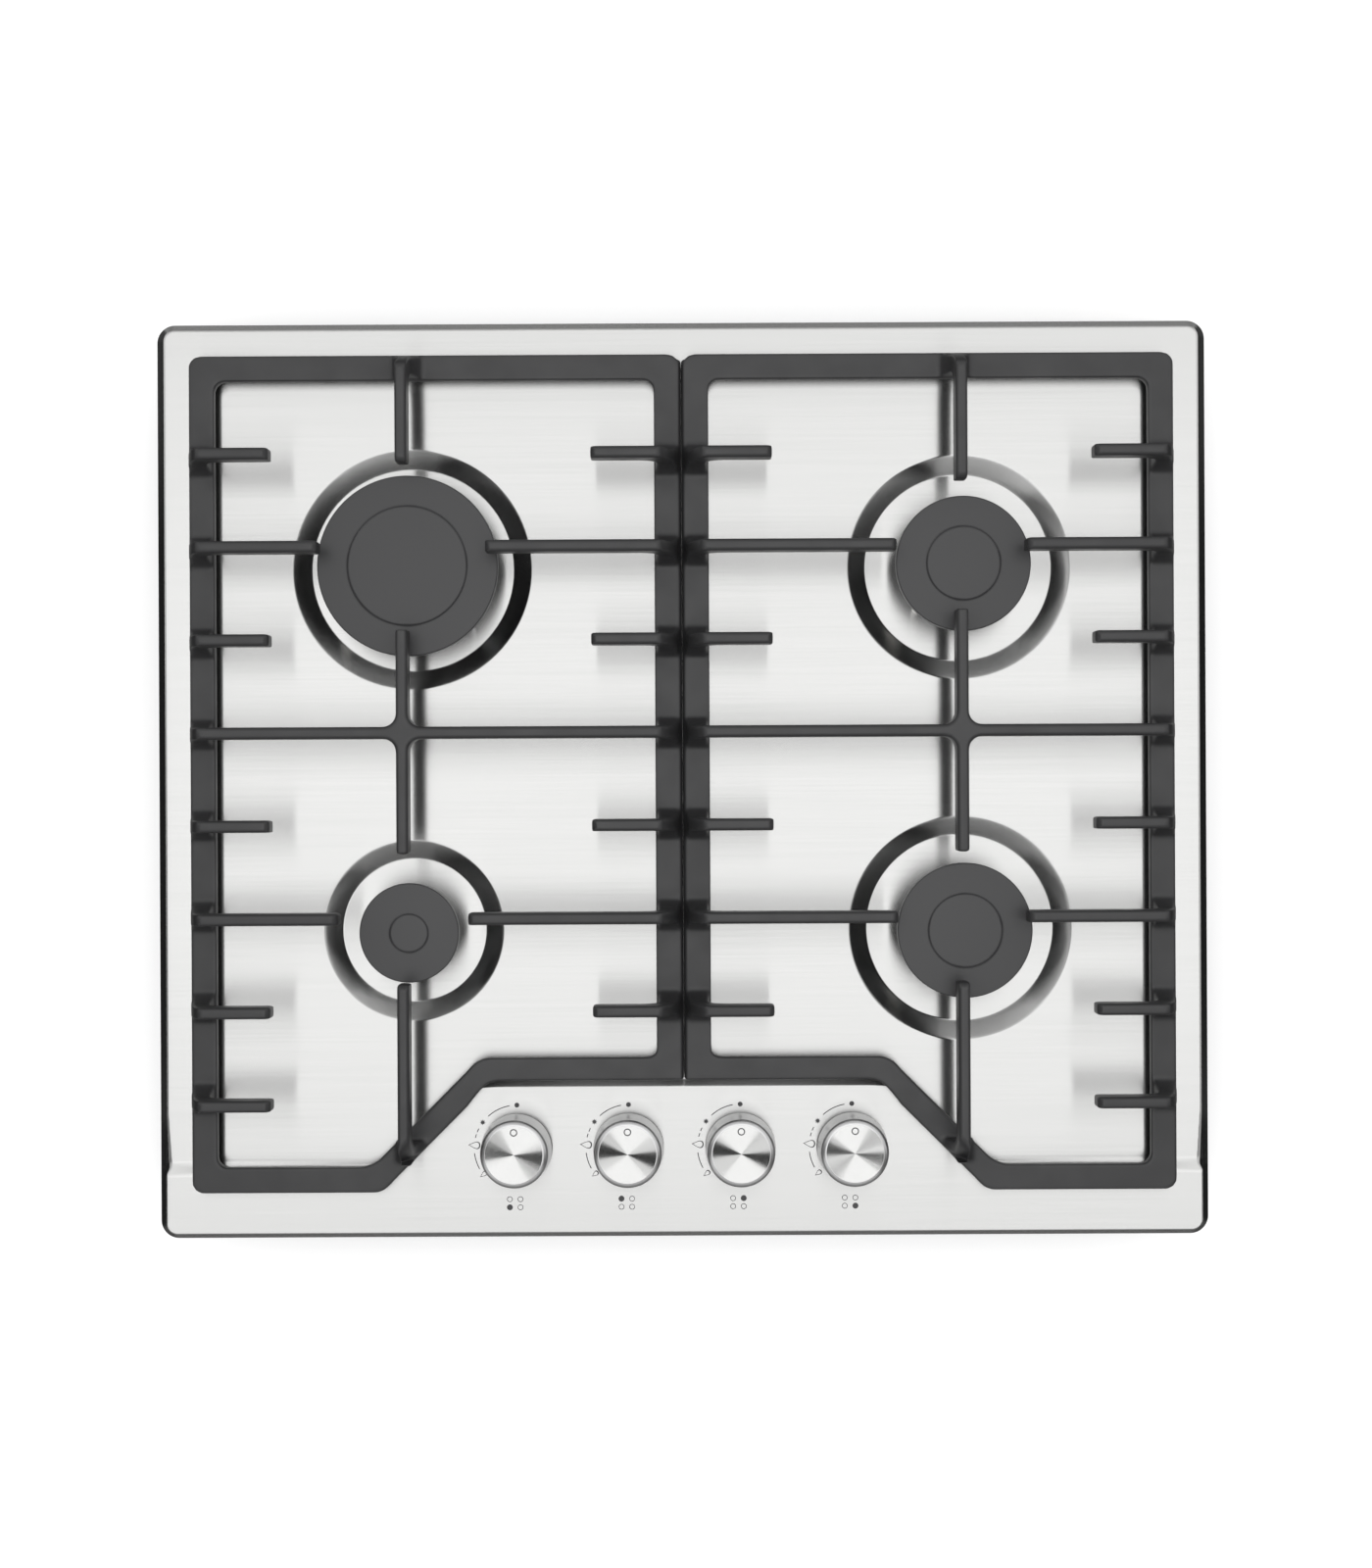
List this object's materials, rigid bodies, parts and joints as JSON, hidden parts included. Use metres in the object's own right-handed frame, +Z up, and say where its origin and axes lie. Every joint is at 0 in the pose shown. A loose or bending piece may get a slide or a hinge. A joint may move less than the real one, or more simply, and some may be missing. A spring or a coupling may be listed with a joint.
{
  "type": "gas cooktop",
  "caption": "Built-in gas cooktop with burners in pressed wells, cast pan supports that lift off, and push-and-turn knobs on a raised front panel.",
  "frame": {"origin": "centre of the worktop cut-out, on the worktop's top face, where the rim seal's underside lies", "axes": "+Z up, +X to the right and +Y to the rear as the cook stands in front of the knobs"},
  "size_m": [0.585, 0.51, 0.088],
  "materials": {
    "brushed_stainless": "brushed left to right",
    "zinc_steel": "zinc coated sheet",
    "foam_rubber": "matte foam",
    "foot_rubber": "matte",
    "cast_iron": "matt black enamel",
    "black_enamel": "matt enamel",
    "cast_aluminium": "die cast",
    "pipe_aluminium": "drawn tube",
    "brass": "turned",
    "plain_steel": "plain steel",
    "white_ceramic": "glazed ceramic",
    "black_plastic": "moulded",
    "spun_metal": "spun top, satin side"
  },
  "bodies": {
    "root": {"top_plate": "brushed_stainless", "underbox": "zinc_steel", "rim_seal": "foam_rubber", "burner_cups": "cast_aluminium", "injectors": "brass", "igniter_insulators": "white_ceramic", "igniter_tips": "plain_steel", "thermocouples": "plain_steel", "gas_rail": "plain_steel", "gas_inlet": "brass", "cable_gland": "black_plastic", "spark_generator": "black_plastic", "clamp_screws": "plain_steel", "gas_pipes": "pipe_aluminium", "valve_bodies": "cast_aluminium"},
    "left_support": {"left_pan_support": "cast_iron", "left_support_feet": "foot_rubber"},
    "right_support": {"right_pan_support": "cast_iron", "right_support_feet": "foot_rubber"},
    "head_front_left": {"burner_head_front_left": "cast_aluminium"},
    "cap_front_left": {"burner_cap_front_left": "black_enamel"},
    "plug_front_left": {"valve_plug_front_left": "brass"},
    "control_front_left": {"knob_front_left": "spun_metal", "valve_spindle_front_left": "plain_steel"},
    "head_rear_left": {"burner_head_rear_left": "cast_aluminium"},
    "cap_rear_left": {"burner_cap_rear_left": "black_enamel"},
    "plug_rear_left": {"valve_plug_rear_left": "brass"},
    "control_rear_left": {"knob_rear_left": "spun_metal", "valve_spindle_rear_left": "plain_steel"},
    "head_rear_right": {"burner_head_rear_right": "cast_aluminium"},
    "cap_rear_right": {"burner_cap_rear_right": "black_enamel"},
    "plug_rear_right": {"valve_plug_rear_right": "brass"},
    "control_rear_right": {"knob_rear_right": "spun_metal", "valve_spindle_rear_right": "plain_steel"},
    "head_front_right": {"burner_head_front_right": "cast_aluminium"},
    "cap_front_right": {"burner_cap_front_right": "black_enamel"},
    "plug_front_right": {"valve_plug_front_right": "brass"},
    "control_front_right": {"knob_front_right": "spun_metal", "valve_spindle_front_right": "plain_steel"},
    "clamp_left_front": {"clamp_left_front": "zinc_steel"},
    "clamp_left_rear": {"clamp_left_rear": "zinc_steel"},
    "clamp_right_front": {"clamp_right_front": "zinc_steel"},
    "clamp_right_rear": {"clamp_right_rear": "zinc_steel"}
  },
  "joints": [
    {"name": "left_support_lift", "type": "slide", "parent": "root", "child": "left_support", "axis": [0, 0, 1], "range_m": [0, 0.08]},
    {"name": "right_support_lift", "type": "slide", "parent": "root", "child": "right_support", "axis": [0, 0, 1], "range_m": [0, 0.08]},
    {"name": "head_front_left_lift", "type": "slide", "parent": "root", "child": "head_front_left", "axis": [0, 0, 1], "range_m": [0, 0.0035]},
    {"name": "cap_front_left_lift", "type": "slide", "parent": "head_front_left", "child": "cap_front_left", "axis": [0, 0, 1], "range_m": [0, 0.0035]},
    {"name": "knob_front_left_turn", "type": "hinge", "parent": "root", "child": "plug_front_left", "pos_m": [-0.093, -0.2043, 0], "axis": [0, 0, 1], "range_deg": [0, 135]},
    {"name": "knob_front_left_push", "type": "slide", "parent": "plug_front_left", "child": "control_front_left", "axis": [0, 0, -1], "range_m": [0, 0.003], "stiffness_N_per_m": 800, "springref_m": -0.003},
    {"name": "head_rear_left_lift", "type": "slide", "parent": "root", "child": "head_rear_left", "axis": [0, 0, 1], "range_m": [0, 0.0035]},
    {"name": "cap_rear_left_lift", "type": "slide", "parent": "head_rear_left", "child": "cap_rear_left", "axis": [0, 0, 1], "range_m": [0, 0.0035]},
    {"name": "knob_rear_left_turn", "type": "hinge", "parent": "root", "child": "plug_rear_left", "pos_m": [-0.031, -0.2043, 0], "axis": [0, 0, 1], "range_deg": [0, 135]},
    {"name": "knob_rear_left_push", "type": "slide", "parent": "plug_rear_left", "child": "control_rear_left", "axis": [0, 0, -1], "range_m": [0, 0.003], "stiffness_N_per_m": 800, "springref_m": -0.003},
    {"name": "head_rear_right_lift", "type": "slide", "parent": "root", "child": "head_rear_right", "axis": [0, 0, 1], "range_m": [0, 0.0035]},
    {"name": "cap_rear_right_lift", "type": "slide", "parent": "head_rear_right", "child": "cap_rear_right", "axis": [0, 0, 1], "range_m": [0, 0.0035]},
    {"name": "knob_rear_right_turn", "type": "hinge", "parent": "root", "child": "plug_rear_right", "pos_m": [0.031, -0.2043, 0], "axis": [0, 0, 1], "range_deg": [0, 135]},
    {"name": "knob_rear_right_push", "type": "slide", "parent": "plug_rear_right", "child": "control_rear_right", "axis": [0, 0, -1], "range_m": [0, 0.003], "stiffness_N_per_m": 800, "springref_m": -0.003},
    {"name": "head_front_right_lift", "type": "slide", "parent": "root", "child": "head_front_right", "axis": [0, 0, 1], "range_m": [0, 0.0035]},
    {"name": "cap_front_right_lift", "type": "slide", "parent": "head_front_right", "child": "cap_front_right", "axis": [0, 0, 1], "range_m": [0, 0.0035]},
    {"name": "knob_front_right_turn", "type": "hinge", "parent": "root", "child": "plug_front_right", "pos_m": [0.093, -0.2043, 0], "axis": [0, 0, 1], "range_deg": [0, 135]},
    {"name": "knob_front_right_push", "type": "slide", "parent": "plug_front_right", "child": "control_front_right", "axis": [0, 0, -1], "range_m": [0, 0.003], "stiffness_N_per_m": 800, "springref_m": -0.003},
    {"name": "clamp_left_front_swing", "type": "hinge", "parent": "root", "child": "clamp_left_front", "pos_m": [-0.266, -0.174, -0.043], "axis": [0, 0, 1], "range_deg": [0, 90]},
    {"name": "clamp_left_rear_swing", "type": "hinge", "parent": "root", "child": "clamp_left_rear", "pos_m": [-0.266, 0.081, -0.043], "axis": [0, 0, 1], "range_deg": [0, 90]},
    {"name": "clamp_right_front_swing", "type": "hinge", "parent": "root", "child": "clamp_right_front", "pos_m": [0.266, -0.174, -0.043], "axis": [0, 0, -1], "range_deg": [0, 90]},
    {"name": "clamp_right_rear_swing", "type": "hinge", "parent": "root", "child": "clamp_right_rear", "pos_m": [0.266, 0.081, -0.043], "axis": [0, 0, -1], "range_deg": [0, 90]}
  ]
}
